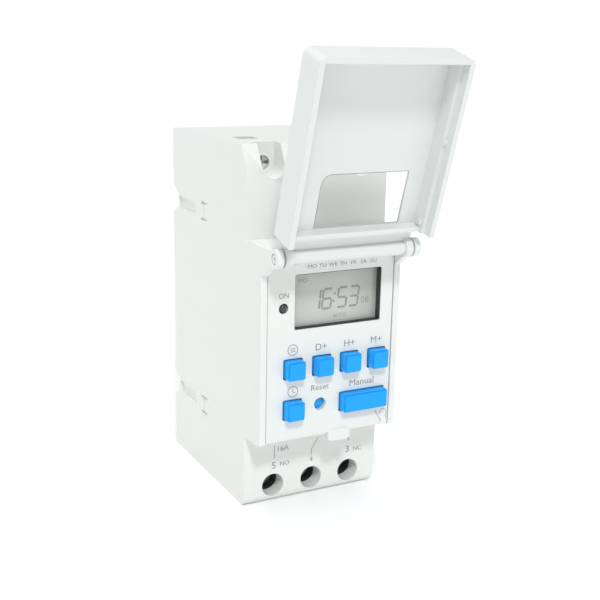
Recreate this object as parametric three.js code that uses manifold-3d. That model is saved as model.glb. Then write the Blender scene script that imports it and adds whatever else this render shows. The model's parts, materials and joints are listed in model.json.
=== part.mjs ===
// Two-module DIN rail timer: a weekly time switch with its windowed lid open.
// Millimetres. The rail's seat plane is y = 0, the front faces -Y, and z = 0 is the rail's centre line.
// "depth" is the distance in front of the rail's seat, so y = -depth.
import * as THREE from "three";
import { mergeVertices } from "three/addons/utils/BufferGeometryUtils.js";
import Module from "manifold-3d";

const wasm = await Module();
wasm.setup();

// ---- driving dimensions -------------------------------------------------------------------------
const WIDTH = 36;
const HEIGHT = 86;
const WALL = 1.5;
const GAP = 0.3;
const SHOULDER = 44.9; // depth of the terminal fronts
const FRONT = 53.0; // depth of the side walls' front edge
const FACE = 52.8; // depth of the front panel's face
const LEDGE_TOP = 22.0; // top of the raised section
const LEDGE_BOTTOM = -25.1; // underside of the raised section
const TOP_CHAMFER = { depth: 41.9, z: 37.7 };
const SNAP_NOTCH = { z: 25, half: 1.8, lead: 1.7, depth: 3.5 };

const HINGE = { depth: 58.9, z: 20.5, boss: 2.2, pin: 1.0, rod: 1.6, collar: 2.2, clearance: 2.8, gap: 0.5 };
const LID = { open: 163.3, length: 45.5, wallStart: 5.1, rim: 5.6, outside: -1.6, inside: -0.2, wall: 1.2 };
const LID_CORNER = 1.8; // its two far corners are rounded
const WINDOW = { left: -9.6, right: 11.8, near: 6.4, far: 18.9, corner: 2.4 };

const RAIL = { half: 17.5, flange: 1.3, lip: 1.8, hookReach: 5.5, hookHalf: 13 };

const SCREEN = { left: -9.5, right: 13.1, bottom: 2.2, top: 15.0 };
const LAMP = { x: -12.3, z: 7.5, r: 1.2 };
const KEY = { width: 5.0, height: 4.9, slack: 0.26, proud: 2.4, stem: 49.7 };
const KEY_ROW_TOP = -6.9;
const KEY_ROW_LOW = -16.7;
const KEYS = [
  { name: "program_button", x: -9.65, z: KEY_ROW_TOP, width: KEY.width },
  { name: "day_button", x: -2.25, z: KEY_ROW_TOP, width: KEY.width },
  { name: "hour_button", x: 5.05, z: KEY_ROW_TOP, width: KEY.width },
  { name: "minute_button", x: 12.45, z: KEY_ROW_TOP, width: KEY.width },
  { name: "clock_button", x: -9.65, z: KEY_ROW_LOW, width: KEY.width },
  { name: "manual_button", x: 8.8, z: KEY_ROW_LOW, width: 12.4 },
];
const RESET = { x: -2.4, z: -16.4, r: 1.55 };

const BOARD = 1.6; // circuit board thickness
const CONTROL_BOARD_DEPTH = 45.2;
const POWER_BOARD_DEPTH = 24.0;
const POWER_BOARD = { half: 15.2, top: 32, bottom: -31 };

const LOWER_TERMINAL_Z = -38.6;
const UPPER_TERMINAL_Z = 38.3;
const ACCESS_R = 2.85; // lower screw holes
const GROOVE = { half: 2.9, floor: 38.9, sheet: 0.7, hole: 1.7 }; // upper grooves, open at the top
const TERMINALS = [
  { name: "line", x: -11.2, side: 1 },
  { name: "neutral", x: 11.2, side: 1 },
  { name: "open_contact", x: -10.4, side: -1 },
  { name: "common", x: 0, side: -1 },
  { name: "closed_contact", x: 10.4, side: -1 },
];
const CAGE = { half: 3.3, sheet: 0.7, back: 26.0, front: 33.8, height: 6.0 };
const ENTRY = { half: 2.5, near: 26.9, far: 31.5 };
const SCREW = { shaft: 1.45, head: 2.35, tip: 32.7, headBack: 36.1, headFront: 37.9, slot: 0.7 };

// ---- materials ----------------------------------------------------------------------------------
function finish(color, roughness, metalness = 0, extra = {}) {
  return new THREE.MeshStandardMaterial({ color, roughness, metalness, ...extra });
}
const WHITE = finish(0xe9ebe9, 0.42);
const LID_WHITE = finish(0xe8ecec, 0.3);
const CLEAR = finish(0xeef2f0, 0.08, 0, { transparent: true, opacity: 0.3 });
const BLUE = finish(0x2196f3, 0.38);
const SCREEN_GREY = finish(0xa9afa8, 0.2);
const SMOKE = finish(0x4a4c4e, 0.25);
const GREEN_BOARD = finish(0x1f6b3a, 0.45);
const BLACK = finish(0x1b1c1e, 0.5);
const STEEL = finish(0xb9bcc0, 0.32, 0.9);
const BRASS = finish(0xc9a34e, 0.35, 0.9);
const CREAM = finish(0xe3dfcf, 0.5);
const YELLOW = finish(0xd8a020, 0.5);
const ORANGE = finish(0xc96a2b, 0.5);
const RUBBER = finish(0x5b5d60, 0.8);

// ---- solids -------------------------------------------------------------------------------------
const X = new THREE.Vector3(1, 0, 0);
const Y = new THREE.Vector3(0, 1, 0);
const Z = new THREE.Vector3(0, 0, 1);
const FACING_FRONT = new THREE.Matrix4().makeBasis(X, Z, Y.clone().negate());
const FACING_SIDE = new THREE.Matrix4().makeBasis(Y.clone().negate(), Z, X.clone().negate());

function solid(geometry) {
  geometry.deleteAttribute("normal");
  geometry.deleteAttribute("uv");
  const merged = mergeVertices(geometry, 1e-4);
  const corners = merged.index.array;
  const kept = [];
  for (let i = 0; i < corners.length; i += 3) {
    const [a, b, c] = [corners[i], corners[i + 1], corners[i + 2]];
    if (a !== b && b !== c && c !== a) kept.push(a, b, c);
  }
  const vertProperties = new Float32Array(merged.attributes.position.array);
  return new wasm.Manifold(new wasm.Mesh({ numProp: 3, vertProperties, triVerts: new Uint32Array(kept) }));
}

function box(x0, x1, depth0, depth1, z0, z1) {
  const geometry = new THREE.BoxGeometry(x1 - x0, depth1 - depth0, z1 - z0);
  return solid(geometry.translate((x0 + x1) / 2, -(depth0 + depth1) / 2, (z0 + z1) / 2));
}

function extrude(shape, matrix, from, to, segments) {
  const options = { depth: to - from, bevelEnabled: false, curveSegments: segments };
  const geometry = new THREE.ExtrudeGeometry(shape, options);
  return solid(geometry.translate(0, 0, from).applyMatrix4(matrix));
}

// an outline drawn in (x, z), filled between two depths
function slab(shape, depth0, depth1, segments = 12) {
  return extrude(shape, FACING_FRONT, depth0, depth1, segments);
}

// an outline drawn in (depth, z), filled between two x positions
function profile(shape, x0, x1, segments = 12) {
  return extrude(shape, FACING_SIDE, -x1, -x0, segments);
}

function disc(x, z, r, depth0, depth1, segments = 12) {
  const shape = new THREE.Shape();
  shape.absarc(x, z, r, 0, 2 * Math.PI);
  return slab(shape, depth0, depth1, segments);
}

function rod(depth, z, r, x0, x1, segments = 12) {
  const shape = new THREE.Shape();
  shape.absarc(depth, z, r, 0, 2 * Math.PI);
  return profile(shape, x0, x1, segments);
}

function roundedRect(x0, x1, z0, z1, r) {
  const shape = new THREE.Shape();
  shape.moveTo(x0 + r, z0);
  shape.absarc(x1 - r, z0 + r, r, -Math.PI / 2, 0);
  shape.absarc(x1 - r, z1 - r, r, 0, Math.PI / 2);
  shape.absarc(x0 + r, z1 - r, r, Math.PI / 2, Math.PI);
  shape.absarc(x0 + r, z0 + r, r, Math.PI, 1.5 * Math.PI);
  return shape;
}

function polygon(points) {
  return new THREE.Shape(points.map(([a, b]) => new THREE.Vector2(a, b)));
}

function joined(solids) {
  return solids.reduce((whole, next) => whole.add(next));
}

function cutAll(whole, cuts) {
  return cuts.reduce((left, cut) => left.subtract(cut), whole);
}

function mesh(name, material, whole) {
  const { vertProperties, triVerts } = whole.getMesh();
  const geometry = new THREE.BufferGeometry();
  geometry.setAttribute("position", new THREE.BufferAttribute(new Float32Array(vertProperties), 3));
  geometry.setIndex(new THREE.BufferAttribute(new Uint32Array(triVerts), 1));
  geometry.computeVertexNormals();
  const piece = new THREE.Mesh(geometry, material);
  piece.name = name;
  return piece;
}

// ---- casing -------------------------------------------------------------------------------------
// a tapered notch in the outline's rear edge, drawn upwards
function rearNotch(shape, z) {
  const { half, lead, depth } = SNAP_NOTCH;
  shape.lineTo(0, z - half - lead);
  shape.lineTo(depth, z - half);
  shape.lineTo(depth, z + half);
  shape.lineTo(0, z + half + lead);
}

function casingOutline() {
  const top = HEIGHT / 2;
  const corner = 2.2;
  const shape = new THREE.Shape();
  shape.moveTo(0, top);
  shape.lineTo(TOP_CHAMFER.depth, top);
  shape.lineTo(SHOULDER, TOP_CHAMFER.z);
  shape.lineTo(SHOULDER, LEDGE_TOP);
  const meet = Math.PI - Math.asin((LEDGE_TOP - HINGE.z) / HINGE.boss);
  shape.absarc(HINGE.depth, HINGE.z, HINGE.boss, meet, -0.72 * Math.PI, true);
  shape.lineTo(FRONT + 1.3, HINGE.z - 4.3);
  shape.lineTo(FRONT, HINGE.z - LID.wallStart - 0.1);
  shape.lineTo(FRONT, LEDGE_BOTTOM + 0.9);
  shape.lineTo(FRONT - 0.5, LEDGE_BOTTOM + 0.5);
  shape.lineTo(SHOULDER, LEDGE_BOTTOM);
  shape.absarc(SHOULDER - corner, corner - top, corner, 0, -Math.PI / 2, true);
  shape.absarc(corner, corner - top, corner, -Math.PI / 2, -Math.PI, true);
  rearNotch(shape, -SNAP_NOTCH.z);
  rearNotch(shape, SNAP_NOTCH.z);
  return shape;
}

function casingCavity() {
  const roof = HEIGHT / 2 - WALL;
  const half = WIDTH / 2 - WALL;
  const shape = polygon([
    [-1, roof],
    [TOP_CHAMFER.depth - 0.8, roof],
    [SHOULDER - WALL, TOP_CHAMFER.z - 0.4],
    [SHOULDER - WALL, LEDGE_TOP - WALL],
    [FRONT + 12, LEDGE_TOP - WALL],
    [FRONT + 12, LEDGE_BOTTOM + WALL],
    [SHOULDER - WALL, LEDGE_BOTTOM + WALL],
    [SHOULDER - WALL, -roof],
    [-1, -roof],
  ]);
  return profile(shape, -half, half);
}

// an upright U: a half circle at the terminal's screw, open above the casing's top
function grooveShape(x, half) {
  const open = HEIGHT / 2 + 2;
  const shape = new THREE.Shape();
  shape.moveTo(x + half, open);
  shape.lineTo(x - half, open);
  shape.absarc(x, UPPER_TERMINAL_Z, half, Math.PI, 2 * Math.PI);
  return shape;
}

// the plastic around one terminal's screw hole, and what is cut out of it
function screwGuide(x, side) {
  const rim = 0.9;
  if (side < 0) return disc(x, LOWER_TERMINAL_Z, ACCESS_R + rim, SCREW.headBack + GAP, SHOULDER - 1);
  return slab(grooveShape(x, GROOVE.half + rim), GROOVE.floor - GROOVE.sheet, SHOULDER - 1);
}

function screwAccess(x, side) {
  if (side < 0) return [disc(x, LOWER_TERMINAL_Z, ACCESS_R, SCREW.headBack - 1, SHOULDER + 2, 16)];
  return [
    slab(grooveShape(x, GROOVE.half), GROOVE.floor, SHOULDER + 2, 16),
    disc(x, UPPER_TERMINAL_Z, GROOVE.hole, SCREW.headFront, GROOVE.floor + 1),
  ];
}

function wireEntry(x, side) {
  const outside = (side * HEIGHT) / 2;
  const [low, high] = [outside - 2.5, outside + 2.5];
  return box(x - ENTRY.half, x + ENTRY.half, ENTRY.near, ENTRY.far, low, high);
}

// a shallow pocket and an I-shaped mark beside each snap notch, on one side wall
function sideMarks(side, z) {
  const outer = WIDTH / 2;
  const at = (depthIn) => (side > 0 ? [outer - depthIn, outer + 1] : [-outer - 1, depthIn - outer]);
  const [p0, p1] = at(0.6);
  const [m0, m1] = at(0.45);
  const markDepth = 20.4;
  const markHalf = 2.0;
  const serif = 1.8;
  const line = 0.3;
  return [
    box(p0, p1, 4.0, 15.0, z - 1.5, z + 1.5),
    box(m0, m1, markDepth - line, markDepth + line, z - markHalf, z + markHalf),
    box(m0, m1, markDepth - serif, markDepth + serif, z + markHalf - line, z + markHalf + line),
    box(m0, m1, markDepth - serif, markDepth + serif, z - markHalf - line, z - markHalf + line),
  ];
}

function lowerCorner() {
  const radius = 3.2;
  const [right, bottom] = [WIDTH / 2, -HEIGHT / 2];
  const shape = new THREE.Shape();
  shape.moveTo(right + 1, bottom + radius);
  shape.lineTo(right, bottom + radius);
  shape.absarc(right - radius, bottom + radius, radius, 0, -Math.PI / 2, true);
  shape.lineTo(right - radius, bottom - 1);
  shape.lineTo(right + 1, bottom - 1);
  return slab(shape, SHOULDER - 2.4, SHOULDER + 1);
}

function mainHousing() {
  const half = WIDTH / 2;
  const inner = half - WALL;
  const shell = profile(casingOutline(), -half, half).subtract(casingCavity());
  const guides = joined(TERMINALS.map(({ x, side }) => screwGuide(x, side)));
  const envelope = profile(casingOutline(), -half, half);
  const cuts = [
    box(-inner, inner, FRONT + 2.4, FRONT + 14, HINGE.z - 12, HINGE.z + 6),
    box(-inner, inner, PANEL.back - GAP, FRONT + 1, LEDGE_BOTTOM - 1, LEDGE_BOTTOM + 4),
    rod(HINGE.depth, HINGE.z, HINGE.pin + 0.2, -half - 1, half + 1),
    lowerCorner(),
  ];
  for (const { x, side } of TERMINALS) {
    cuts.push(...screwAccess(x, side), wireEntry(x, side));
  }
  for (const side of [-1, 1]) {
    for (const z of [SNAP_NOTCH.z - 0.4, -SNAP_NOTCH.z - 0.4]) cuts.push(...sideMarks(side, z));
  }
  return cutAll(shell.add(guides.intersect(envelope)), cuts);
}

// The back plate carries the rail's seat, the fixed hook, the latch guides and the board posts.
const BACK = { half: 16.2, top: 41.2, sunk: 0.3, plate: 1.8, skirt: 4.6 };
const SEAT = { half: 14, top: 15.4 };
const LATCH = { half: 6, bottom: -40, thick: 2.4 };
const RAIL_LIP = RAIL.half - RAIL.lip; // how far the hook and the latch reach over the rail's edges
const BOARD_POSTS = [
  [-12.6, 24.5],
  [12.6, -24.0],
];

function latchGuides() {
  const inner = LATCH.half + GAP;
  const outer = inner + 2;
  const reach = -(LATCH.thick + 1.9);
  return [-1, 1].flatMap((side) => {
    const wall = [side * inner, side * outer].sort((a, b) => a - b);
    const lip = [side * (inner - 1.2), side * outer].sort((a, b) => a - b);
    return [
      box(wall[0], wall[1], reach, 0.5, -38, -24),
      box(lip[0], lip[1], reach, -(LATCH.thick + 0.6), -38, -24),
    ];
  });
}

function rearCover() {
  const seat = box(-SEAT.half, SEAT.half, 0, BACK.plate, -SEAT.top, SEAT.top);
  const tray = box(-BACK.half, BACK.half, BACK.sunk, BACK.skirt, -BACK.top, BACK.top);
  const bay = box(1 - BACK.half, BACK.half - 1, BACK.plate, BACK.skirt + 1, 1 - BACK.top, BACK.top - 1);
  const hook = profile(
    polygon([
      [0.5, RAIL.half + 0.2],
      [-RAIL.flange - 0.2, RAIL.half + 0.2],
      [-RAIL.flange - 0.5, RAIL_LIP],
      [-RAIL.flange - 2.2, RAIL_LIP],
      [-RAIL.hookReach, RAIL.half + 1.4],
      [-RAIL.hookReach, RAIL.half + 4.2],
      [0.5, RAIL.half + 8.2],
    ]),
    -RAIL.hookHalf,
    RAIL.hookHalf,
  );
  const posts = BOARD_POSTS.map(([x, z]) => disc(x, z, 2.1, BACK.plate - 0.5, POWER_BOARD_DEPTH - GAP));
  const pilots = BOARD_POSTS.map(([x, z]) => disc(x, z, 1.1, POWER_BOARD_DEPTH - 9, POWER_BOARD_DEPTH + 1));
  const springStop = box(-2.6, 2.6, -LATCH.thick - 0.6, 0.5, -38, -36.6);
  const body = joined([tray.subtract(bay), seat, hook, ...posts, ...latchGuides(), springStop]);
  return cutAll(body, pilots);
}

// The latch slides in the guides and hooks the rail's lower edge; its window holds the spring.
function dinLatch() {
  const { half, bottom, thick } = LATCH;
  const bar = box(-half, half, -thick - 0.2, -0.25, bottom, -RAIL.half - 0.25);
  const nose = profile(
    polygon([
      [-RAIL.flange - 0.4, -RAIL.half - 3],
      [-RAIL.flange - 0.4, -RAIL_LIP],
      [-RAIL.flange - 2.0, -RAIL_LIP],
      [-RAIL.hookReach + 0.3, -RAIL.half - 1.6],
      [-RAIL.hookReach + 0.3, -RAIL.half - 3],
    ]),
    -half,
    half,
  );
  const spring = box(-3.4, 3.4, -thick - 1, 0.5, -38.4, -24.6);
  const toolSlot = box(-2.2, 2.2, -thick - 1, 0.5, bottom + 0.3, bottom + 1.2);
  return cutAll(bar.add(nose), [spring, toolSlot]);
}

class Helix extends THREE.Curve {
  constructor(radius, pitch, turns, centre) {
    super();
    Object.assign(this, { radius, pitch, turns, centre });
  }

  getPoint(t, target = new THREE.Vector3()) {
    const angle = 2 * Math.PI * this.turns * t;
    const along = this.pitch * this.turns * t;
    return target.set(
      this.centre.x + this.radius * Math.cos(angle),
      this.centre.y + this.radius * Math.sin(angle),
      this.centre.z + along,
    );
  }
}

function latchSpring() {
  const wire = 0.25;
  const turns = 6;
  const [low, high] = [-36.2, -25.0];
  const centre = new THREE.Vector3(0, LATCH.thick / 2 + 0.2, low);
  const path = new Helix(1.0, (high - low) / turns, turns, centre);
  const section = new THREE.Shape();
  section.absarc(0, 0, wire, 0, 2 * Math.PI);
  const options = { steps: turns * 10, extrudePath: path, curveSegments: 3 };
  return solid(new THREE.ExtrudeGeometry(section, options));
}

// ---- front panel --------------------------------------------------------------------------------
const PANEL = { half: 16.28, bottom: -24.4, top: 20.1, back: 51.2, skirt: 46.9 };
const PANEL_POSTS = [
  [-6, -11.8],
  [8.8, -11.8],
];

function panelOutline() {
  return polygon([
    [FACE, PANEL.bottom + 0.5],
    [FACE - 0.5, PANEL.bottom],
    [PANEL.back, PANEL.bottom],
    [PANEL.back, PANEL.top],
    [FRONT + 2.2, PANEL.top],
    [HINGE.depth - 2.6, HINGE.z - 2.0],
    [FACE, HINGE.z - 3.2],
  ]);
}

function frontPanel() {
  const { half, back, skirt, bottom, top } = PANEL;
  const face = profile(panelOutline(), -half, half);
  const ring = box(-half, half, skirt, back + 0.5, LEDGE_BOTTOM + WALL + GAP, top);
  const bay = box(0.6 - half, half - 0.6, skirt - 1, back, LEDGE_BOTTOM + WALL + GAP + 1, top - 1);
  const tab = slab(roundedRect(0, 5.8, bottom - 1.8, bottom + 1, 0.8), FACE - 1.3, FACE + 0.2, 4);
  const posts = PANEL_POSTS.map(([x, z]) => disc(x, z, 1.9, CONTROL_BOARD_DEPTH + BOARD + GAP, back + 0.5));
  const cuts = [
    rod(HINGE.depth, HINGE.z, HINGE.clearance, -half - 1, half + 1, 16),
    slab(roundedRect(SCREEN.left, SCREEN.right, SCREEN.bottom, SCREEN.top, 0.4), back - 1, FACE + 1, 3),
    disc(LAMP.x, LAMP.z, LAMP.r, back - 1, FACE + 1),
    disc(RESET.x, RESET.z, RESET.r, back - 1, FACE + 1),
  ];
  for (const { x, z, width } of KEYS) {
    const shape = roundedRect(x - width / 2, x + width / 2, z - KEY.height / 2, z + KEY.height / 2, 0.4);
    cuts.push(slab(shape, back - 1, FACE + 1, 3));
  }
  for (const [x, z] of PANEL_POSTS) cuts.push(disc(x, z, 0.9, CONTROL_BOARD_DEPTH, back - 0.6));
  return cutAll(joined([face, ring.subtract(bay), tab, ...posts]), cuts);
}

// a key cap: a soft-edged head in the panel's opening, a flange behind it and a stem to its switch
function keyCap({ x, z, width }) {
  const half = width / 2 - KEY.slack;
  const high = KEY.height / 2 - KEY.slack;
  const tip = FACE + KEY.proud;
  const outline = (grow, r) => {
    const [w, h] = [half + grow, high + grow];
    return roundedRect(x - w, x + w, z - h, z + h, r);
  };
  const head = slab(outline(0, 0.5), PANEL.back - 1, tip - 0.4, 3);
  const crown = slab(outline(-0.3, 0.4), PANEL.back, tip, 3);
  const flange = slab(outline(0.51, 0.2), PANEL.back - 1, PANEL.back - 0.2, 1);
  const stem = disc(x, z, 1.1, KEY.stem, PANEL.back);
  return joined([head, crown, flange, stem]);
}

function resetCap() {
  const { x, z, r } = RESET;
  const head = disc(x, z, r - 0.2, PANEL.back - 1, FACE - 1.1);
  const flange = disc(x, z, r + 0.7, PANEL.back - 1.0, PANEL.back - 0.2);
  return joined([head, flange, disc(x, z, 0.9, KEY.stem, PANEL.back)]);
}

function tactSwitch(x, z) {
  const half = 2.4;
  const base = CONTROL_BOARD_DEPTH + BOARD + 0.05;
  const can = box(x - half, x + half, base, base + 1.5, z - half, z + half);
  return can.add(disc(x, z, 1.2, base + 1, KEY.stem - 0.6));
}

function indicatorLamp() {
  const { x, z, r } = LAMP;
  const dome = new THREE.SphereGeometry(r - 0.2, 16, 8).translate(x, -(FACE - 0.7), z);
  const barrel = disc(x, z, r - 0.2, PANEL.back - 2.4, FACE - 0.7, 8);
  const rim = disc(x, z, r + 0.2, PANEL.back - 2.8, PANEL.back - 1.8);
  const legs = [-0.6, 0.6].map((dx) => {
    const [near, far] = [CONTROL_BOARD_DEPTH + BOARD + 0.1, PANEL.back - 2.5];
    return box(x + dx - 0.2, x + dx + 0.2, near, far, z - 0.2, z + 0.2);
  });
  return joined([barrel, solid(dome), rim, ...legs]);
}

// ---- display and boards -------------------------------------------------------------------------
const DISPLAY = { left: -10.5, right: 14.6, bottom: -0.2, top: 16.6, back: 48.9, front: 50.9 };

function displayGlass() {
  const { left, right, bottom, top, back, front } = DISPLAY;
  const upper = box(left, right, (back + front) / 2, front, bottom + 1.6, top);
  return upper.add(box(left, right, back, (back + front) / 2 + 0.1, bottom, top));
}

function displayHolder() {
  const { left, right, bottom, top, back } = DISPLAY;
  const near = CONTROL_BOARD_DEPTH + BOARD + 0.1;
  const outer = box(left, right, near, back - 0.1, bottom, top);
  const strip = box(left + 1.5, right - 1.5, near - 1, back + 1, bottom + 0.8, bottom + 3.2);
  const relief = box(left + 1.5, right - 1.5, near - 1, near + 1.2, bottom + 4.2, top - 1.2);
  return cutAll(outer, [strip, relief]);
}

function zebraStrip() {
  const { left, right, bottom, back } = DISPLAY;
  const near = CONTROL_BOARD_DEPTH + BOARD + 0.05;
  return box(left + 1.9, right - 1.9, near, back - 0.05, bottom + 1.1, bottom + 2.9);
}

function controlBoard() {
  const near = CONTROL_BOARD_DEPTH;
  const plate = box(-14.8, 14.8, near, near + BOARD, -22.2, 18.6);
  return cutAll(
    plate,
    PANEL_POSTS.map(([x, z]) => disc(x, z, 1.3, near - 1, near + BOARD + 1)),
  );
}

// a pan-head screw along the depth axis, its head towards `headSide` (1 front, -1 back)
function boardScrew(x, z, seat, headSide, shaft, head, length) {
  const along = (a, b) => [seat + headSide * a, seat + headSide * b].sort((p, q) => p - q);
  const [h0, h1] = along(0, 1.3);
  const [s0, s1] = along(-length, 0.5);
  const [c0, c1] = along(0.6, 2);
  const slot = (half, high) => box(x - half, x + half, c0, c1, z - high, z + high);
  const cross = [slot(0.25, 1.1), slot(1.1, 0.25)];
  return cutAll(disc(x, z, head, h0, h1).add(disc(x, z, shaft, s0, s1)), cross);
}

function powerBoard() {
  const { half, top, bottom } = POWER_BOARD;
  const plate = box(-half, half, POWER_BOARD_DEPTH, POWER_BOARD_DEPTH + BOARD, bottom, top);
  return cutAll(
    plate,
    BOARD_POSTS.map(([x, z]) => disc(x, z, 1.5, POWER_BOARD_DEPTH - 1, POWER_BOARD_DEPTH + BOARD + 1)),
  );
}

// the parts on the power board's rear face; each pin ends just short of the board
function pin(x, z, from) {
  return box(x - 0.35, x + 0.35, from, POWER_BOARD_DEPTH - 0.1, z - 0.35, z + 0.35);
}

function relay() {
  const can = box(-14.4, 4.6, 7.2, 22.6, -23.0, -7.5);
  return joined([can, pin(-12, -21, 22), pin(-12, -9.5, 22), pin(2.4, -15, 22), pin(-6, -21, 22)]);
}

function filmCapacitor() {
  const shape = roundedRect(-14.2, 3.8, -5.6, 2.4, 0.8);
  return joined([slab(shape, 9.5, 22.6, 3), pin(-12.7, -1.6, 22), pin(2.3, -1.6, 22)]);
}

function canCapacitor(x, z, r, back) {
  const can = disc(x, z, r, back, 22.4, 12);
  const groove = disc(x, z, r + 1, 20.2, 20.9, 12).subtract(disc(x, z, r - 0.35, 20, 21.1, 12));
  return joined([can.subtract(groove), pin(x - 1.8, z, 22), pin(x + 1.8, z, 22)]);
}

function varistor() {
  const shape = new THREE.Shape();
  shape.absarc(16.6, 13.2, 4.6, 0, 2 * Math.PI);
  const body = profile(shape, -13.6, -10.2, 12);
  return joined([body, pin(-12.6, 11, 18), pin(-11.2, 15.4, 18)]);
}

function fuseResistor() {
  const barrel = rod(21.0, 8.6, 1.5, -3.6, 4.6, 8);
  return joined([barrel, pin(-2.8, 8.6, 21), pin(3.8, 8.6, 21)]);
}

function backupCell() {
  const cell = disc(7.6, 20.6, 5.9, 15.8, 22.4, 16);
  return joined([cell, pin(4.6, 20.6, 22), pin(10.6, 20.6, 22)]);
}

function boardConnector() {
  const near = POWER_BOARD_DEPTH + BOARD + 0.1;
  const far = CONTROL_BOARD_DEPTH - 0.1;
  const pins = 6;
  const pitch = 2.0;
  const left = -10;
  const z = -20.2;
  const bars = Array.from({ length: pins }, (_, i) => {
    const x = left + pitch * (i + 0.5);
    return box(x - 0.3, x + 0.3, near, far, z - 0.3, z + 0.3);
  });
  const block = (a, b) => box(left, left + pins * pitch, a, b, z - 1.2, z + 1.2);
  return joined([block(near + 0.2, near + 3), block(far - 3, far - 0.2), ...bars]);
}

function controllerChip() {
  const near = CONTROL_BOARD_DEPTH - 1.5;
  const [x, z, half] = [2.4, 7.4, 4.6];
  const legs = [-1, 1].flatMap((side) =>
    Array.from({ length: 6 }, (_, i) => {
      const legZ = z - 3.6 + i * 1.44;
      const [x0, x1] = [side * (half - 0.3), side * (half + 1)].sort((a, b) => a - b);
      return box(x + x0, x + x1, near + 0.9, near + 1.35, legZ - 0.25, legZ + 0.25);
    }),
  );
  return joined([box(x - half, x + half, near, near + 1.3, z - half, z + half), ...legs]);
}

function clockCrystal() {
  const shape = new THREE.Shape();
  shape.absarc(CONTROL_BOARD_DEPTH - 1.4, -6, 1.1, 0, 2 * Math.PI);
  return profile(shape, -9.4, -2.9, 8);
}

// ---- terminals ----------------------------------------------------------------------------------
function terminalZ(side) {
  return side < 0 ? LOWER_TERMINAL_Z : UPPER_TERMINAL_Z;
}

// from the wire's mouth inwards: the cage's span along z
function cageSpan(side) {
  const mouth = side * (HEIGHT / 2 - WALL - 0.4);
  return [mouth, mouth - side * CAGE.height].sort((a, b) => a - b);
}

function terminalCage(x, side) {
  const { half, sheet, back, front } = CAGE;
  const [low, high] = cageSpan(side);
  const tube = box(x - half, x + half, back, front, low, high);
  const bore = box(x - half + sheet, x + half - sheet, back + sheet, front - sheet, low - 1, high + 1);
  const thread = disc(x, terminalZ(side), SCREW.shaft + 0.2, front - 2, front + 1);
  return cutAll(tube, [bore, thread]);
}

function terminalScrew(x, side) {
  const z = terminalZ(side);
  const head = disc(x, z, SCREW.head, SCREW.headBack, SCREW.headFront, 12);
  const shaft = disc(x, z, SCREW.shaft, SCREW.tip, SCREW.headBack + 0.5, 8);
  const top = SCREW.headFront;
  const slot = (reach, high) => box(x - reach, x + reach, top - 1, top + 1, z - high, z + high);
  return cutAll(head.add(shaft), [slot(SCREW.head + 1, SCREW.slot / 2), slot(SCREW.slot / 2, 1.6)]);
}

// a bent strip: under the screw's tip in the cage, then back to the power board
function contactBar(x, side) {
  const half = 2.0;
  const tip = SCREW.tip - GAP;
  const strip = 0.8;
  const mouth = side * (HEIGHT / 2 - WALL - 1.2);
  const turn = side * 33.4;
  const upright = [mouth, turn - side * strip].sort((a, b) => a - b);
  const flat = [turn, turn - side * strip].sort((a, b) => a - b);
  const foot = [turn, side * 28.2].sort((a, b) => a - b);
  const boardFront = POWER_BOARD_DEPTH + BOARD + 0.1;
  return joined([
    box(x - half, x + half, tip - strip, tip, upright[0], upright[1]),
    box(x - half, x + half, boardFront, tip, flat[0], flat[1]),
    box(x - half, x + half, boardFront, boardFront + strip, foot[0], foot[1]),
  ]);
}

// ---- lid ----------------------------------------------------------------------------------------
// Drawn closed and centred on the hinge: x, then w (inwards, to the panel) as y, then -u (down) as z.
function lidBox(x0, x1, u0, u1, w0, w1) {
  return box(x0, x1, -w1, -w0, -u1, -u0);
}

function lidOutline() {
  const { length, wallStart } = LID;
  const half = WIDTH / 2;
  const r = LID_CORNER;
  const shape = new THREE.Shape();
  shape.moveTo(-half, -wallStart);
  shape.lineTo(-half, r - length);
  shape.absarc(r - half, r - length, r, Math.PI, 1.5 * Math.PI);
  shape.lineTo(half - r, -length);
  shape.absarc(half - r, r - length, r, 1.5 * Math.PI, 2 * Math.PI);
  shape.lineTo(half, -wallStart);
  return shape;
}

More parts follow.
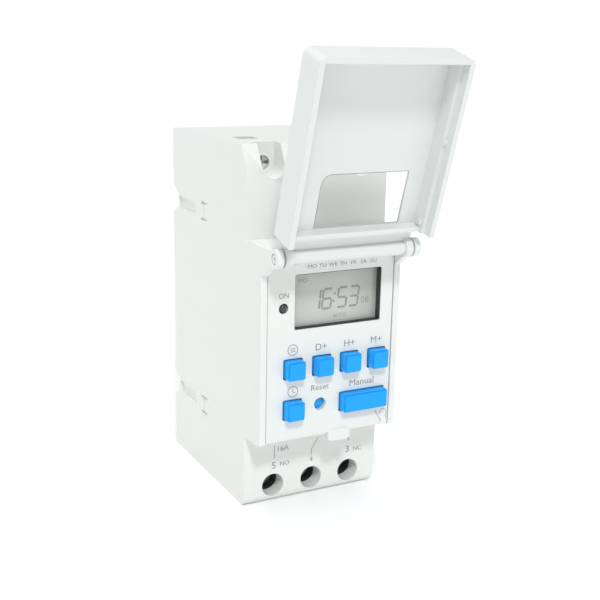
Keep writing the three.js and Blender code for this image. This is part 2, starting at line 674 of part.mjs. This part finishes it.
function lidFrame() {
  const { length, wallStart, rim, outside, inside, wall } = LID;
  const half = WIDTH / 2;
  const inner = half - wall;
  const neck = half - WALL - HINGE.gap;
  const tray = slab(lidOutline(), -rim, -outside, 6);
  const bay = lidBox(-inner, inner, wallStart - 1, length - wall, inside, rim + 1);
  const step = 0.9;
  const ribs = [-1, 1].flatMap((side) => {
    const [x0, x1] = [side * (inner - step), side * (inner + 0.3)].sort((a, b) => a - b);
    const rib = (u0, u1, top) => lidBox(x0, x1, u0, u1, inside - 0.3, top);
    return [rib(wallStart, length - 0.5, 3.4), rib(26.3, 27.5, 3.9)];
  });
  const hingeRib = lidBox(-inner - 0.3, inner + 0.3, wallStart, wallStart + 1.1, inside - 0.3, 2.2);
  const neckPlate = lidBox(-neck, neck, 0, wallStart + 0.5, outside, inside);
  const collarWidth = 1.7;
  const barrel = rod(0, 0, HINGE.rod, -neck, neck);
  const collar = (x0, x1) => rod(0, 0, HINGE.collar, x0, x1);
  const collars = [collar(-neck, collarWidth - neck), collar(neck - collarWidth, neck)];
  const pins = rod(0, 0, HINGE.pin, 0.15 - half, half - 0.15, 8);
  const dimples = [-half, half].map((x) => rod(0, 0, 0.35, x - 0.7, x + 0.7, 6));
  const { left, right, near, far, corner } = WINDOW;
  const opening = new THREE.Shape();
  opening.moveTo(left, -near);
  opening.lineTo(left, corner - far);
  opening.absarc(left + corner, corner - far, corner, Math.PI, 1.5 * Math.PI);
  opening.lineTo(right, -far);
  opening.lineTo(right, -near);
  const rebate = lidBox(left - 1.3, right + 1.3, near - 1.1, far + 1.3, outside - 1, outside + 0.75);
  const marker = lidBox(-13.6, -12.4, -1.4, -0.5, -3, 0.7 - HINGE.collar);
  const snapKnob = lidBox(inner - step - 0.5, inner, 7.0, 8.2, 1.4, 2.6);
  const body = joined([tray.subtract(bay), ...ribs, hingeRib, neckPlate, barrel, ...collars, pins, snapKnob]);
  return cutAll(body, [slab(opening, -rim, 3, 6), rebate, marker, ...dimples]);
}

// a clear plate in the lid's opening, with a thin flange in the rebate of the lid's outer face
function lidWindow() {
  const { left, right, near, far, corner } = WINDOW;
  const gap = 0.12;
  const shape = new THREE.Shape();
  const round = corner - gap;
  shape.moveTo(left + gap, -near - gap);
  shape.lineTo(left + gap, corner - far);
  shape.absarc(left + corner, corner - far, round, Math.PI, 1.5 * Math.PI);
  shape.lineTo(right - gap, -far + gap);
  shape.lineTo(right - gap, -near - gap);
  const flangeBack = LID.outside + 0.65;
  const plug = slab(shape, 0.25, 0.1 - flangeBack, 6);
  const flange = lidBox(left - 1.2, right + 1.2, near - 1, far + 1.2, LID.outside + 0.03, flangeBack);
  return plug.add(flange);
}

// ---- assembly -----------------------------------------------------------------------------------
const timer = new THREE.Group();

function place(name, material, whole, group = timer) {
  group.add(mesh(name, material, whole));
}

place("main_housing", WHITE, mainHousing());
place("rear_cover", WHITE, rearCover());
place("front_panel", WHITE, frontPanel());
place("din_latch", WHITE, dinLatch());
place("latch_spring", STEEL, latchSpring());

for (const key of KEYS) {
  place(key.name, BLUE, keyCap(key));
  place(key.name.replace("button", "switch"), BLACK, tactSwitch(key.x, key.z));
}
place("reset_button", BLUE, resetCap());
place("reset_switch", BLACK, tactSwitch(RESET.x, RESET.z));
place("indicator_lamp", SMOKE, indicatorLamp());

place("display_glass", SCREEN_GREY, displayGlass());
place("display_holder", CREAM, displayHolder());
place("display_contact_strip", RUBBER, zebraStrip());
place("control_board", GREEN_BOARD, controlBoard());
place("controller_chip", BLACK, controllerChip());
place("clock_crystal", STEEL, clockCrystal());
PANEL_POSTS.forEach(([x, z], i) => {
  const screw = boardScrew(x, z, CONTROL_BOARD_DEPTH - 0.05, -1, 0.75, 1.6, 5);
  place(`panel_screw_${i + 1}`, STEEL, screw);
});

place("power_board", GREEN_BOARD, powerBoard());
BOARD_POSTS.forEach(([x, z], i) => {
  const screw = boardScrew(x, z, POWER_BOARD_DEPTH + BOARD + 0.05, 1, 0.95, 2.0, 7);
  place(`board_screw_${i + 1}`, STEEL, screw);
});
place("relay", BLACK, relay());
place("dropper_capacitor", YELLOW, filmCapacitor());
place("smoothing_capacitor", BLACK, canCapacitor(10.2, -4.4, 4.6, 10.5));
place("varistor", ORANGE, varistor());
place("fuse_resistor", CREAM, fuseResistor());
place("backup_cell", STEEL, backupCell());
place("board_connector", BLACK, boardConnector());

for (const { name, x, side } of TERMINALS) {
  place(`${name}_cage`, STEEL, terminalCage(x, side));
  place(`${name}_screw`, STEEL, terminalScrew(x, side));
  place(`${name}_bar`, BRASS, contactBar(x, side));
}

const lid = new THREE.Group();
lid.position.set(0, -HINGE.depth, HINGE.z);
lid.rotation.x = THREE.MathUtils.degToRad(-LID.open);
place("lid_frame", LID_WHITE, lidFrame(), lid);
place("lid_window", CLEAR, lidWindow(), lid);
timer.add(lid);

export default timer;
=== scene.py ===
import json
import math

import bmesh
import bpy
from mathutils import Matrix, Vector


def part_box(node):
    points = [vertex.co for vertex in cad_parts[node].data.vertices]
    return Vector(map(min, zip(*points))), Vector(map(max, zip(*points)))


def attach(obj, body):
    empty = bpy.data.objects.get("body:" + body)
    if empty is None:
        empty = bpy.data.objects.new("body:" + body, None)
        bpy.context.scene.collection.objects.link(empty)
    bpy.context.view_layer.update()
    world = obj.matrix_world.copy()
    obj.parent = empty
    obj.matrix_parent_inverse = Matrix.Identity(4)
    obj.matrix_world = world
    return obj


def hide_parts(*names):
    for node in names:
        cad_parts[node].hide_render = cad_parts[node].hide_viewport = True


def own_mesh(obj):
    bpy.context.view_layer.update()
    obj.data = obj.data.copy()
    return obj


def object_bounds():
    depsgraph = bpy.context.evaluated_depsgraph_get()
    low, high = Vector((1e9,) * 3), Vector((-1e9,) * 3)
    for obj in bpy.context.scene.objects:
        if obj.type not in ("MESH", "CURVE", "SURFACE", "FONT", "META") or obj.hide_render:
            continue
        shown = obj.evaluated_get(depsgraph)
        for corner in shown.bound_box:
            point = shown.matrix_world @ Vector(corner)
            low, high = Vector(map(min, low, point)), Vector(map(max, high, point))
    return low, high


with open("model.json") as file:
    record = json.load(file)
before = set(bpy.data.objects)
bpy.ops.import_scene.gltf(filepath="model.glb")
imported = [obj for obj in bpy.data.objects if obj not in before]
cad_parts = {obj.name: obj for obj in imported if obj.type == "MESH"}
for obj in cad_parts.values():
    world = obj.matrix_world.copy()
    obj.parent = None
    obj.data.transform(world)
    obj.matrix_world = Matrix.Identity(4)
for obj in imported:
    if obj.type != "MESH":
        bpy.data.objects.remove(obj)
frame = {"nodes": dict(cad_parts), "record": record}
cad_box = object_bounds()
NODES = frame["nodes"]
RECORD = frame["record"]
BODY_OF = {node: body for body, group in RECORD["behaviour"]["bodies"].items() for node in group}
SLOT_OF = {part["node"]: part["material_slot"] for part in RECORD["subparts"]}


def mm(*values):
    scaled = [value * 0.001 for value in values]
    return scaled[0] if len(scaled) == 1 else Vector(scaled)


# ---- node materials ------------------------------------------------------------------------------
class Shader:
    """A material with its Principled shader and short calls for the nodes that feed it."""

    def __init__(self, name, color, roughness, **sockets):
        self.material = bpy.data.materials.new(name)
        self.material.use_nodes = True
        self.tree = self.material.node_tree
        self.surface = self.tree.nodes["Principled BSDF"]
        self.color = color
        self.surface.inputs["Base Color"].default_value = (*color, 1)
        self.surface.inputs["Roughness"].default_value = roughness
        for socket, value in sockets.items():
            self.surface.inputs[socket.replace("_", " ")].default_value = value
        self.material.diffuse_color = (*color, 1)
        self.place = self.node("ShaderNodeTexCoord").outputs["Object"]
        self.height = None

    def node(self, kind, **properties):
        made = self.tree.nodes.new(kind)
        for key, value in properties.items():
            setattr(made, key, value)
        return made

    def link(self, source, target):
        self.tree.links.new(source, target)

    def noise(self, size_mm, detail=3.0, stretch=(1, 1, 1)):
        mapping = self.node("ShaderNodeMapping")
        mapping.inputs["Scale"].default_value = stretch
        self.link(self.place, mapping.inputs["Vector"])
        texture = self.node("ShaderNodeTexNoise")
        texture.inputs["Scale"].default_value = 1000 / size_mm
        texture.inputs["Detail"].default_value = detail
        self.link(mapping.outputs["Vector"], texture.inputs["Vector"])
        return texture.outputs["Fac"]

    def remap(self, source, low, high, start=0.3, end=0.7):
        node = self.node("ShaderNodeMapRange")
        node.inputs["From Min"].default_value = start
        node.inputs["From Max"].default_value = end
        node.inputs["To Min"].default_value = low
        node.inputs["To Max"].default_value = high
        self.link(source, node.inputs["Value"])
        return node.outputs["Result"]

    def blend(self, factor, first, second):
        node = self.node("ShaderNodeMix", data_type="RGBA")
        self.link(factor, node.inputs["Factor"])
        for socket, value in (("A", first), ("B", second)):
            target = next(i for i in node.inputs if i.name == socket and i.type == "RGBA")
            if isinstance(value, tuple):
                target.default_value = (*value, 1)
            else:
                self.link(value, target)
        return next(o for o in node.outputs if o.type == "RGBA")

    def mottle(self, size_mm, amount, second=None, detail=3.0):
        """The base colour drifts towards a second colour, or a darker one, in soft patches."""
        other = second or tuple(c * (1 - amount) for c in self.color)
        factor = self.remap(self.noise(size_mm, detail), 0, 1)
        source = self.surface.inputs["Base Color"]
        first = source.links[0].from_socket if source.links else self.color
        self.link(self.blend(factor, first, other), source)
        return self

    def worn(self, size_mm, low, high):
        """Roughness that drifts between two values."""
        self.link(self.remap(self.noise(size_mm, 4.0), low, high), self.surface.inputs["Roughness"])
        return self

    def grain(self, size_mm, depth_mm, stretch=(1, 1, 1), detail=2.0):
        """Fine relief; several grains add up."""
        bump = self.node("ShaderNodeBump")
        bump.inputs["Strength"].default_value = 1.0
        bump.inputs["Distance"].default_value = mm(depth_mm)
        self.link(self.noise(size_mm, detail, stretch), bump.inputs["Height"])
        if self.height:
            self.link(self.height, bump.inputs["Normal"])
        self.height = bump.outputs["Normal"]
        self.link(self.height, self.surface.inputs["Normal"])
        return self


def housing_white():
    made = Shader("housing_white", (0.765, 0.792, 0.772), 0.33, Specular_IOR_Level=0.45)
    made.mottle(28, 0.012).mottle(2.2, 0.01).worn(9, 0.29, 0.37)
    return made.grain(0.28, 0.006).grain(9, 0.02)


def lid_white():
    made = Shader("lid_white", (0.73, 0.757, 0.752), 0.2, Specular_IOR_Level=0.5)
    return made.mottle(22, 0.012).worn(7, 0.16, 0.24).grain(6, 0.015).grain(0.4, 0.002)


def clear_window():
    made = Shader("clear_window", (0.99, 1.0, 0.99), 0.03, IOR=1.49, Transmission_Weight=1.0)
    return made.mottle(6, 0.02).worn(5, 0.02, 0.05).grain(7, 0.002)


def button_blue():
    made = Shader("button_blue", (0.006, 0.365, 0.90), 0.34, Specular_IOR_Level=0.28)
    return made.mottle(3, 0.06).worn(2, 0.27, 0.38).grain(0.22, 0.006).grain(3, 0.01)


def display_grey():
    """A screen that is a little darker towards its right end: painted shading, lighter at its left
    end and darker at its right.
    """
    made = Shader("display_grey", (0.43, 0.46, 0.42), 0.12, Coat_Weight=0.4, Coat_Roughness=0.04)
    axes = made.node("ShaderNodeSeparateXYZ")
    made.link(made.place, axes.inputs["Vector"])
    # painted shading: the screen's grey is lighter at the left and darker at the right
    painted_shading_ramp = made.remap(axes.outputs["X"], 0, 1, start=mm(5.0), end=mm(14.0))
    painted_lit_grey, painted_shade_grey = (0.515, 0.545, 0.515), (0.375, 0.405, 0.375)
    made.link(made.blend(painted_shading_ramp, painted_lit_grey, painted_shade_grey), made.surface.inputs["Base Color"])
    return made.worn(3, 0.1, 0.16).grain(0.12, 0.0004)


def lamp_smoke():
    made = Shader("lamp_smoke", (0.045, 0.048, 0.05), 0.16, Coat_Weight=0.5, Coat_Roughness=0.05)
    return made.mottle(0.9, 0.2).worn(0.7, 0.12, 0.2).grain(0.2, 0.003)


def board_green():
    made = Shader("board_green", (0.02, 0.16, 0.06), 0.35, Coat_Weight=0.3, Coat_Roughness=0.1)
    return made.mottle(1.1, 0.2, (0.03, 0.22, 0.09), 1.0).worn(3, 0.28, 0.42).grain(0.5, 0.02)


def black_plastic():
    made = Shader("black_plastic", (0.02, 0.02, 0.022), 0.45)
    return made.mottle(4, 0.2).worn(3, 0.38, 0.55).grain(0.2, 0.01)


def cream_plastic():
    made = Shader("cream_plastic", (0.70, 0.67, 0.55), 0.5)
    return made.mottle(4, 0.05).worn(3, 0.42, 0.58).grain(0.25, 0.01)


def rubber():
    made = Shader("rubber", (0.05, 0.05, 0.055), 0.75)
    return made.mottle(1, 0.2).worn(1, 0.68, 0.85).grain(0.12, 0.01)


def steel():
    made = Shader("steel", (0.74, 0.75, 0.76), 0.4, Metallic=0.75)
    return made.mottle(2.5, 0.1).worn(1.2, 0.34, 0.5).grain(0.35, 0.004, (1, 1, 6))


def zinc_plate():
    made = Shader("zinc_plate", (0.78, 0.79, 0.80), 0.45, Metallic=0.25)
    return made.mottle(1.5, 0.08).worn(0.8, 0.38, 0.55).grain(0.3, 0.004)


def brass():
    made = Shader("brass", (0.66, 0.46, 0.18), 0.33, Metallic=1.0)
    made.mottle(2.5, 0.2, (0.50, 0.33, 0.13)).worn(1.5, 0.25, 0.45)
    return made.grain(0.4, 0.006, (6, 1, 1))


def capacitor_yellow():
    made = Shader("capacitor_yellow", (0.68, 0.40, 0.04), 0.35)
    return made.mottle(3, 0.08).worn(2, 0.3, 0.42).grain(0.4, 0.01)


def varistor_orange():
    made = Shader("varistor_orange", (0.52, 0.16, 0.03), 0.3)
    return made.mottle(1.5, 0.15).worn(1, 0.25, 0.4).grain(1.2, 0.05)


def ink():
    made = Shader("ink", (0.19, 0.195, 0.20), 0.6)
    return made.mottle(0.35, 0.25, (0.30, 0.305, 0.31), 2.0).worn(0.5, 0.5, 0.7)


def segment_ink():
    made = Shader("segment_ink", (0.25, 0.27, 0.25), 0.2)
    return made.mottle(1.5, 0.15, (0.31, 0.33, 0.31)).worn(1, 0.15, 0.25)


def floor_paint():
    """White paint that gives off a little light, so that the floor stays white."""
    made = Shader("floor_paint", (0.90, 0.90, 0.90), 0.6, Emission_Strength=0.06)
    made.surface.inputs["Emission Color"].default_value = (1, 1, 1, 1)
    return made.mottle(80, 0.01).worn(40, 0.5, 0.7)


MAKERS = [
    housing_white, lid_white, clear_window, button_blue, display_grey, lamp_smoke,
    board_green, black_plastic, cream_plastic, rubber, steel, zinc_plate, brass,
    capacitor_yellow, varistor_orange, ink, segment_ink, floor_paint,
]
MATERIALS = {maker.__name__: maker().material for maker in MAKERS}


# ---- meshes --------------------------------------------------------------------------------------
def new_object(name, mesh):
    made = bpy.data.objects.new(name, mesh)
    bpy.context.scene.collection.objects.link(made)
    return made


def add_piece(name, mesh, body, slot, material=None, smooth=35):
    """Shades a mesh smooth up to an angle in degrees, in its slot's material or another."""
    piece = new_object(name, mesh)
    mesh.materials.clear()
    mesh.materials.append(MATERIALS[material or slot])
    mesh.shade_smooth()
    mesh.set_sharp_from_angle(angle=math.radians(smooth))
    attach(piece, body)
    return piece


WELD_GAP = 0.002
FLAT_ANGLE = 0.6  # degrees: faces that turn less than this become one
EDGE_ANGLE = 32  # degrees: an edge that turns more than this is rounded


def welded(node):
    """A node's solid as clean flat faces: its triangles welded, and joined where they are level."""
    source = NODES[node].data
    mesh = bpy.data.meshes.new(node + "_finished")
    points = [v.co[:] for v in source.vertices]
    mesh.from_pydata(points, [], [list(p.vertices) for p in source.polygons])
    bm = bmesh.new()
    bm.from_mesh(mesh)
    bmesh.ops.remove_doubles(bm, verts=bm.verts, dist=mm(WELD_GAP))
    flat = math.radians(FLAT_ANGLE)
    bmesh.ops.dissolve_limit(bm, angle_limit=flat, verts=bm.verts, edges=bm.edges)
    bm.to_mesh(mesh)
    bm.free()
    return mesh


def finished(node, edge_mm, segments):
    """Replaces a node by its own solid with rounded edges, and gives it the finish of its slot."""
    plating = "zinc_plate" if node.endswith("_screw") else None
    name = node + "_finished"
    piece = add_piece(name, welded(node), BODY_OF[node], SLOT_OF[node], plating, smooth=EDGE_ANGLE)
    bevel = piece.modifiers.new("edges", "BEVEL")
    bevel.width = mm(edge_mm)
    bevel.segments = segments
    bevel.limit_method = "ANGLE"
    bevel.angle_limit = math.radians(EDGE_ANGLE)
    bevel.use_clamp_overlap = True
    bevel.harden_normals = True
    bevel.miter_outer = "MITER_ARC"
    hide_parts(node)
    return piece


EDGES = {  # how wide the rounded edges are
    "main_housing": 0.35, "front_panel": 0.16, "lid_frame": 0.4, "lid_window": 0.06,
    "rear_cover": 0.2, "din_latch": 0.25, "display_glass": 0.05, "indicator_lamp": 0.05,
}
KEY_EDGE = 0.3
SMALL_EDGE = 0.1  # on every other piece
for node in sorted(NODES):
    if node.endswith("_button"):
        piece = finished(node, KEY_EDGE, 3)
    else:
        piece = finished(node, EDGES.get(node, SMALL_EDGE), 2)
    if node == "latch_spring":
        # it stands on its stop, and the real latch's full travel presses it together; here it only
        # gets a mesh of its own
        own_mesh(piece)


def circle(x, z, radius, sides=48):
    turns = [math.tau * i / sides for i in range(sides)]
    return [(x + radius * math.cos(t), z + radius * math.sin(t)) for t in turns]


def rectangle(x0, x1, z0, z1):
    return [(x0, z0), (x1, z0), (x1, z1), (x0, z1)]


def sleeve(name, outer, inner, near, far):
    """A thin black lining between two outlines and two depths in front of the rail; the lining in
    the lower terminals' holes is painted shade.
    """
    count = len(outer)
    rings = [(outer, near), (outer, far), (inner, far), (inner, near)]
    points = [mm(x, -depth, z) for outline, depth in rings for x, z in outline]
    faces = []
    for first in range(0, 4 * count, count):
        second = (first + count) % (4 * count)
        for i in range(count):
            j = (i + 1) % count
            faces.append((first + i, first + j, second + j, second + i))
    mesh = bpy.data.meshes.new(name)
    mesh.from_pydata(points, [], faces)
    bm = bmesh.new()
    bm.from_mesh(mesh)
    bmesh.ops.recalc_face_normals(bm, faces=bm.faces)
    bm.to_mesh(mesh)
    bm.free()
    add_piece(name, mesh, "root", "rubber")


# painted shade: black linings deep in the lower terminals' holes darken them where the walls lie
# only in shade
SHADE_SLEEVE = {"outer": 2.82, "inner": 2.74, "near": 38.2, "far": 41.0}
LOWER_TERMINAL_Z = -38.6
for terminal, x in (("open_contact", -10.4), ("common", 0.0), ("closed_contact", 10.4)):
    rims = [circle(x, LOWER_TERMINAL_Z, SHADE_SLEEVE[rim]) for rim in ("outer", "inner")]
    sleeve(terminal + "_painted_shade_sleeve", *rims, SHADE_SLEEVE["near"], SHADE_SLEEVE["far"])


# ---- printing ------------------------------------------------------------------------------------
INK_HEIGHT = 0.02
LINE_WIDTH = 0.16


class Print:
    """Flat ink shapes drawn in millimetres on one plane, then laid on the part as one piece."""

    def __init__(self):
        self.bm = bmesh.new()

    def text(self, words, x, z, size, squeeze=1.0):
        curve = bpy.data.curves.new("words", "FONT")
        curve.body = words
        curve.size = size
        curve.align_x = "CENTER"
        curve.align_y = "CENTER"
        curve.resolution_u = 3
        curve.extrude = INK_HEIGHT / 2
        holder = new_object("words", curve)
        mesh = bpy.data.meshes.new_from_object(holder)
        mesh.transform(Matrix.Translation((x, z, 0)) @ Matrix.Diagonal((squeeze, 1, 1, 1)))
        self.bm.from_mesh(mesh)
        bpy.data.objects.remove(holder)
        bpy.data.curves.remove(curve)
        bpy.data.meshes.remove(mesh)
        return self

    def prism(self, outline):
        low = [self.bm.verts.new((x, z, -INK_HEIGHT / 2)) for x, z in outline]
        high = [self.bm.verts.new((x, z, INK_HEIGHT / 2)) for x, z in outline]
        count = len(outline)
        self.bm.faces.new(low[::-1])
        self.bm.faces.new(high)
        for i in range(count):
            j = (i + 1) % count
            self.bm.faces.new([low[i], low[j], high[j], high[i]])
        return self

    def line(self, x0, z0, x1, z1, width=LINE_WIDTH):
        along = Vector((x1 - x0, z1 - z0)).normalized()
        side = Vector((-along.y, along.x)) * width / 2
        ends = [Vector((x0, z0)), Vector((x1, z1))]
        corners = [ends[0] - side, ends[1] - side, ends[1] + side, ends[0] + side]
        return self.prism([tuple(c) for c in corners])

    def arc(self, x, z, radius, start, end, width=LINE_WIDTH, steps=20):
        turns = [math.radians(start + (end - start) * i / steps) for i in range(steps + 1)]
        points = [(x + radius * math.cos(t), z + radius * math.sin(t)) for t in turns]
        for (x0, z0), (x1, z1) in zip(points, points[1:]):
            self.line(x0, z0, x1, z1, width)
        return self

    def lay(self, name, face, slot="black_plastic", material="ink"):
        depth = face + INK_HEIGHT / 2
        mesh = bpy.data.meshes.new(name)
        self.bm.to_mesh(mesh)
        self.bm.free()
        facing_front = Matrix(((1, 0, 0, 0), (0, 0, -1, -depth), (0, 1, 0, 0), (0, 0, 0, 1)))
        mesh.transform(Matrix.Scale(0.001, 4) @ facing_front)
        add_piece(name, mesh, "root", slot, material)


FACE = 52.8  # depth of the panel's face
SHOULDER = 44.9  # depth of the terminals' front
SCREEN_FACE = 50.9
ICON_RADIUS = 1.25
THIN_LINE = 0.14


def clock_icon(marks, x, z):
    marks.arc(x, z, ICON_RADIUS, 0, 360)
    marks.line(x, z, x, z + ICON_RADIUS * 0.6)
    marks.line(x, z, x + ICON_RADIUS * 0.5, z - ICON_RADIUS * 0.3)


def program_icon(marks, x, z):
    marks.arc(x, z, ICON_RADIUS, 0, 360)
    reach = ICON_RADIUS * 0.5
    for step in (-0.4, 0.0, 0.4):
        marks.line(x - reach, z + step, x + reach, z + step, 0.13)


def hand_icon(marks, x, z):
    marks.arc(x, z, 0.95, 20, 200, THIN_LINE)
    marks.line(x + 0.89, z + 0.32, x + 0.89, z - 1.6, THIN_LINE)
    marks.line(x - 2.3, z + 0.9, x - 0.5, z - 2.1)


def panel_labels():
    marks = Print()
    marks.text("ON", LAMP.x, LAMP.z + 2.9, 1.75, 0.95)
    for words, x in (("D+", -2.5), ("H+", 5.0), ("M+", 12.3)):
        marks.text(words, x, -2.55, 2.3, 1.05)
    marks.text("Reset", -2.6, -12.3, 1.95, 1.08)
    marks.text("Manual", 8.7, -12.5, 2.25, 1.08)
    program_icon(marks, -9.8, -2.4)
    clock_icon(marks, -9.6, -12.4)
    hand_icon(marks, 15.05, -21.3)
    marks.lay("panel_labels", FACE)


def day_labels():
    marks = Print()
    first, pitch = -5.3, 2.67
    for i, day in enumerate(("MO", "TU", "WE", "TH", "FR", "SA", "SU")):
        marks.text(day, first + i * pitch, 16.6, 1.2, 1.25)
    marks.lay("day_labels", FACE)


def terminal_labels():
    """The changeover contact's diagram, with its terminals' numbers."""
    marks = Print()
    marks.text("16A", -7.9, -29.6, 1.9, 1.05).line(-10.1, -28.4, -10.1, -31.8)
    marks.text("5", -10.2, -33.7, 2.4, 1.1).text("NO", -7.3, -33.6, 1.5, 1.1)
    marks.line(0.0, -31.2, 0.0, -32.8).line(0.0, -31.2, 1.8, -28.4).text("4", 0.0, -33.9, 1.8)
    marks.line(10.4, -28.4, 10.4, -30.8).text("3", 10.2, -33.1, 2.4, 1.1)
    marks.text("NC", 13.0, -33.3, 1.5, 1.1)
    marks.lay("terminal_labels", SHOULDER)


def centre_mm(node):
    low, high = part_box(node)
    return (low + high) / 2 * 1000


LAMP = centre_mm("indicator_lamp")
panel_labels()
day_labels()
terminal_labels()


# ---- display -------------------------------------------------------------------------------------
SEGMENTS = {"1": "bc", "3": "abcdg", "5": "acdfg", "6": "acdefg"}
LEAN = 0.1  # how far a figure leans to the right, for each millimetre of its height
SEGMENT_TRIM = 0.16  # cut from both ends of a bar, so that the bars stay apart


def digit(marks, shown, x, z, width=2.3, height=4.6, thick=0.5):
    """One seven-segment figure, its lower left corner at x, z."""
    half = height / 2
    bars = {
        "a": (0, height, width, height), "g": (0, half, width, half), "d": (0, 0, width, 0),
        "f": (0, half, 0, height), "b": (width, half, width, height),
        "e": (0, 0, 0, half), "c": (width, 0, width, half),
    }
    for name in SEGMENTS[shown]:
        x0, z0, x1, z1 = bars[name]
        start = Vector((x + x0 + z0 * LEAN, z + z0))
        end = Vector((x + x1 + z1 * LEAN, z + z1))
        trim = (end - start).normalized() * SEGMENT_TRIM
        start, end = start + trim, end - trim
        marks.line(start.x, start.y, end.x, end.y, thick)


def display_figures():
    marks = Print()
    for shown, x in (("1", -4.6), ("6", -1.6), ("5", 2.4), ("3", 5.5)):
        digit(marks, shown, x, 5.9)
    marks.line(1.55, 7.2, 1.6, 7.7, 0.5).line(1.75, 9.0, 1.8, 9.5, 0.5)
    marks.text("08", 9.9, 6.9, 2.3)
    marks.text("AUTO", 3.2, 3.9, 1.3)
    marks.text("MO", -6.6, 13.0, 1.5)
    marks.lay("display_figures", SCREEN_FACE, slot="display_grey", material="segment_ink")


display_figures()


OPENING = {"x0": -9.5, "x1": 13.1, "z0": 2.2, "z1": 15.0}  # the panel's opening round the display
LINING_WIDTH = 0.18


def display_black_lining():
    """A thin black lining round the inside of the display's opening."""
    x0, x1, z0, z1 = OPENING.values()
    outer = rectangle(x0, x1, z0, z1)
    inner = rectangle(x0 + LINING_WIDTH, x1 - LINING_WIDTH, z0 + LINING_WIDTH, z1 - LINING_WIDTH)
    sleeve("display_black_lining", outer, inner, near=50.95, far=52.55)


display_black_lining()


# ---- floor, light and camera ---------------------------------------------------------------------
FLOOR_HALF = 3.0  # metres
floor_z = cad_box[0].z
floor_mesh = bpy.data.meshes.new("floor")
floor_mesh.from_pydata(
    [(-FLOOR_HALF, -FLOOR_HALF, floor_z), (FLOOR_HALF, -FLOOR_HALF, floor_z),
     (FLOOR_HALF, FLOOR_HALF, floor_z), (-FLOOR_HALF, FLOOR_HALF, floor_z)], [], [(0, 1, 2, 3)],
)
floor_mesh.materials.append(MATERIALS["floor_paint"])
new_object("floor", floor_mesh)

HORIZON = (1.02, 1.02, 1.02, 1)
SKY = (0.50, 0.51, 0.505, 1)
HAZE = (0.05, 0.18)  # the heights, as sines, between which the horizon's white fades to the sky's
SUNS = (  # name, direction towards it, strength, spread in degrees
    ("key", (-0.3, -0.85, 1.0), 1.4, 9),
    ("fill", (-1.0, -0.3, 0.5), 0.18, 40),
    ("overhead", (0, 0, 1), 1.15, 50),
)


def studio_light():
    """White all round, brightest at the horizon, with three soft suns."""
    world = bpy.data.worlds.new("studio")
    bpy.context.scene.world = world
    world.use_nodes = True
    tree = world.node_tree
    place = tree.nodes.new("ShaderNodeTexCoord")
    axes = tree.nodes.new("ShaderNodeSeparateXYZ")
    height = tree.nodes.new("ShaderNodeMapRange")
    height.inputs["From Min"].default_value, height.inputs["From Max"].default_value = HAZE
    shade = tree.nodes.new("ShaderNodeMix")
    shade.data_type = "RGBA"
    tree.links.new(place.outputs["Generated"], axes.inputs["Vector"])
    tree.links.new(axes.outputs["Z"], height.inputs["Value"])
    tree.links.new(height.outputs["Result"], shade.inputs["Factor"])
    colors = [i for i in shade.inputs if i.type == "RGBA"]
    colors[0].default_value, colors[1].default_value = HORIZON, SKY
    mixed = next(o for o in shade.outputs if o.type == "RGBA")
    tree.links.new(mixed, tree.nodes["Background"].inputs["Color"])
    for sun in SUNS:
        soft_sun(*sun)


def soft_sun(name, towards, strength, spread):
    light = bpy.data.lights.new(name, "SUN")
    light.energy = strength
    light.angle = math.radians(spread)
    holder = new_object(name, light)
    holder.rotation_mode = "QUATERNION"
    holder.rotation_quaternion = Vector(towards).to_track_quat("Z", "Y")


studio_light()
bpy.context.scene.view_settings.view_transform = "Standard"


def add_camera():
    """The photograph's viewpoint: from the left, a little above."""
    yaw, pitch, roll = math.radians(28.02), math.radians(14.61), math.radians(1.25)
    field = math.radians(33.1)
    level = math.cos(pitch)
    back = Vector((-math.sin(yaw) * level, -math.cos(yaw) * level, math.sin(pitch)))
    right = Vector((math.cos(yaw), -math.sin(yaw), 0))
    up = back.cross(right)
    turned_right = math.cos(roll) * right + math.sin(roll) * up
    turned_up = -math.sin(roll) * right + math.cos(roll) * up
    data = bpy.data.cameras.new("camera")
    data.sensor_width = 36.0
    data.lens = data.sensor_width / 2 / math.tan(field / 2)
    data.clip_start = 0.01
    holder = new_object("camera", data)
    columns = Matrix((turned_right, turned_up, back)).transposed().to_4x4()
    place = mm(-110.9, -245.7, 66.1)
    holder.matrix_world = Matrix.Translation(place) @ columns
    bpy.context.scene.camera = holder


add_camera()
